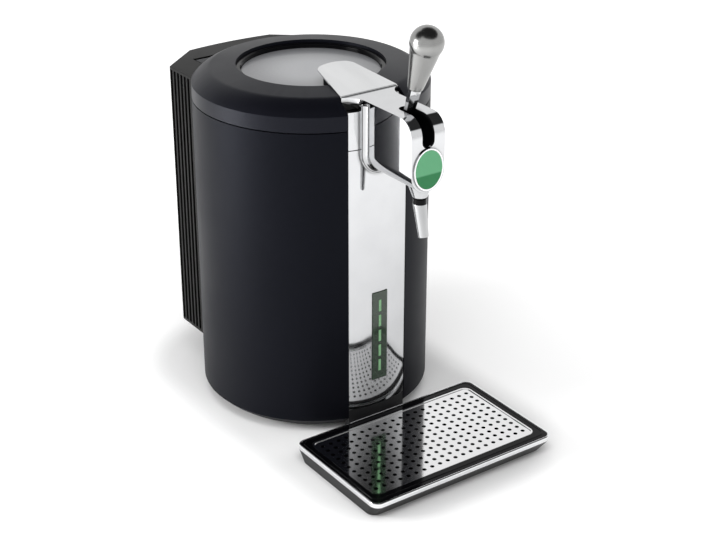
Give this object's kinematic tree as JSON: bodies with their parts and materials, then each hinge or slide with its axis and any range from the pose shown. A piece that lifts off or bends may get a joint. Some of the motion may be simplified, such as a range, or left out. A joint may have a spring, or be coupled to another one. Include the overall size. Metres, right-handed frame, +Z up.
{
  "type": "mini keg beer dispenser",
  "caption": "Countertop mini keg beer dispenser: round cooled body, hinged lid with a window, pull-lever tap on a front arm, detachable drip tray and a louvred rear cooler housing.",
  "frame": {"origin": "middle of the bounding box's footprint, on the surface the machine stands on", "axes": "+Z up; the front, with the tap and the drip tray, faces -Y; +X is the machine's left side, to the right of someone who faces its front"},
  "size_m": [0.26, 0.464, 0.4794],
  "materials": {
    "shell_paint": "satin",
    "gloss_black": "gloss",
    "lid_black": "satin",
    "base_black": "matte",
    "housing_grey": "matte",
    "grille_black": "matte",
    "tap_chrome": "polished",
    "panel_chrome": "polished",
    "trim_chrome": "polished",
    "grid_steel": "satin",
    "well_aluminium": "satin",
    "bare_aluminium": "matte",
    "pin_steel": "satin",
    "window_frost": "satin",
    "foam_grey": "matte",
    "inner_plastic": "matte",
    "seal_rubber": "matte",
    "foot_rubber": "matte",
    "board_green": "satin",
    "indicator_dark": "gloss",
    "indicator_light": "satin",
    "badge_green": "gloss",
    "valve_plastic": "satin",
    "ceramic_white": "matte",
    "supply_grey": "satin",
    "fan_black": "satin",
    "switch_black": "satin"
  },
  "bodies": {
    "machine": {"rubber_feet": "foot_rubber", "base_pan": "base_black", "outer_shell": "shell_paint", "keg_liner": "well_aluminium", "insulation_jacket": "foam_grey", "top_deck": "inner_plastic", "front_column": "base_black", "front_panel": "panel_chrome", "front_panel_top": "panel_chrome", "indicator_frame": "indicator_dark", "indicator_bars": "indicator_light", "control_board": "board_green", "tray_dock": "base_black", "tap_arm": "tap_chrome", "badge": "badge_green", "badge_ring": "trim_chrome", "spout_neck": "tap_chrome", "spout_collar": "tap_chrome", "spout_tube": "tap_chrome", "valve_body": "valve_plastic", "lever_pin": "pin_steel", "hinge_bracket": "pin_steel", "hinge_pin": "pin_steel", "rear_housing": "housing_grey", "rear_grille": "grille_black", "cold_block": "bare_aluminium", "peltier_module": "ceramic_white", "heat_sink": "bare_aluminium", "fan_frame": "fan_black", "power_supply": "supply_grey", "power_inlet": "base_black", "switch_frame": "base_black"},
    "lid": {"lid_ring": "lid_black", "window_bezel": "gloss_black", "lid_window": "window_frost", "lid_floor": "inner_plastic", "lid_seal": "seal_rubber", "lid_foam": "foam_grey", "lid_handle": "panel_chrome", "handle_base": "gloss_black"},
    "lever": {"lever_stem": "tap_chrome", "lever_grip": "tap_chrome"},
    "slider": {"pinch_slider": "valve_plastic"},
    "fan": {"fan_rotor": "fan_black"},
    "rocker": {"power_rocker": "switch_black"},
    "tray": {"tray_pan": "gloss_black", "tray_trim": "trim_chrome"},
    "grid": {"drip_grid": "grid_steel"}
  },
  "joints": [
    {"name": "lid_hinge", "type": "hinge", "parent": "machine", "child": "lid", "pos_m": [0, 0.1904, 0.362], "axis": [-1, 0, 0], "range_deg": [0, 75]},
    {"name": "lever_pivot", "type": "hinge", "parent": "machine", "child": "lever", "pos_m": [0, -0.11, 0.352], "axis": [1, 0, 0], "range_deg": [0, 50]},
    {"name": "slider_slide", "type": "slide", "parent": "machine", "child": "slider", "axis": [0, 1, 0], "range_m": [0, 0.0093]},
    {"name": "fan_spin", "type": "hinge", "parent": "machine", "child": "fan", "pos_m": [0, 0.214, 0.195], "axis": [0, 1, 0], "continuous": true},
    {"name": "rocker_tilt", "type": "hinge", "parent": "machine", "child": "rocker", "pos_m": [0.02, 0.2246, 0.074], "axis": [1, 0, 0], "range_deg": [0, 14]},
    {"name": "tray_slide", "type": "slide", "parent": "machine", "child": "tray", "axis": [0, -1, 0], "range_m": [0, 0.15]},
    {"name": "grid_lift", "type": "slide", "parent": "tray", "child": "grid", "axis": [0, 0, 1], "range_m": [0, 0.06]}
  ],
  "couplings": [
    {"joint": "slider_slide", "follows": "lever_pivot", "m_per_rad": 0.010654}
  ]
}
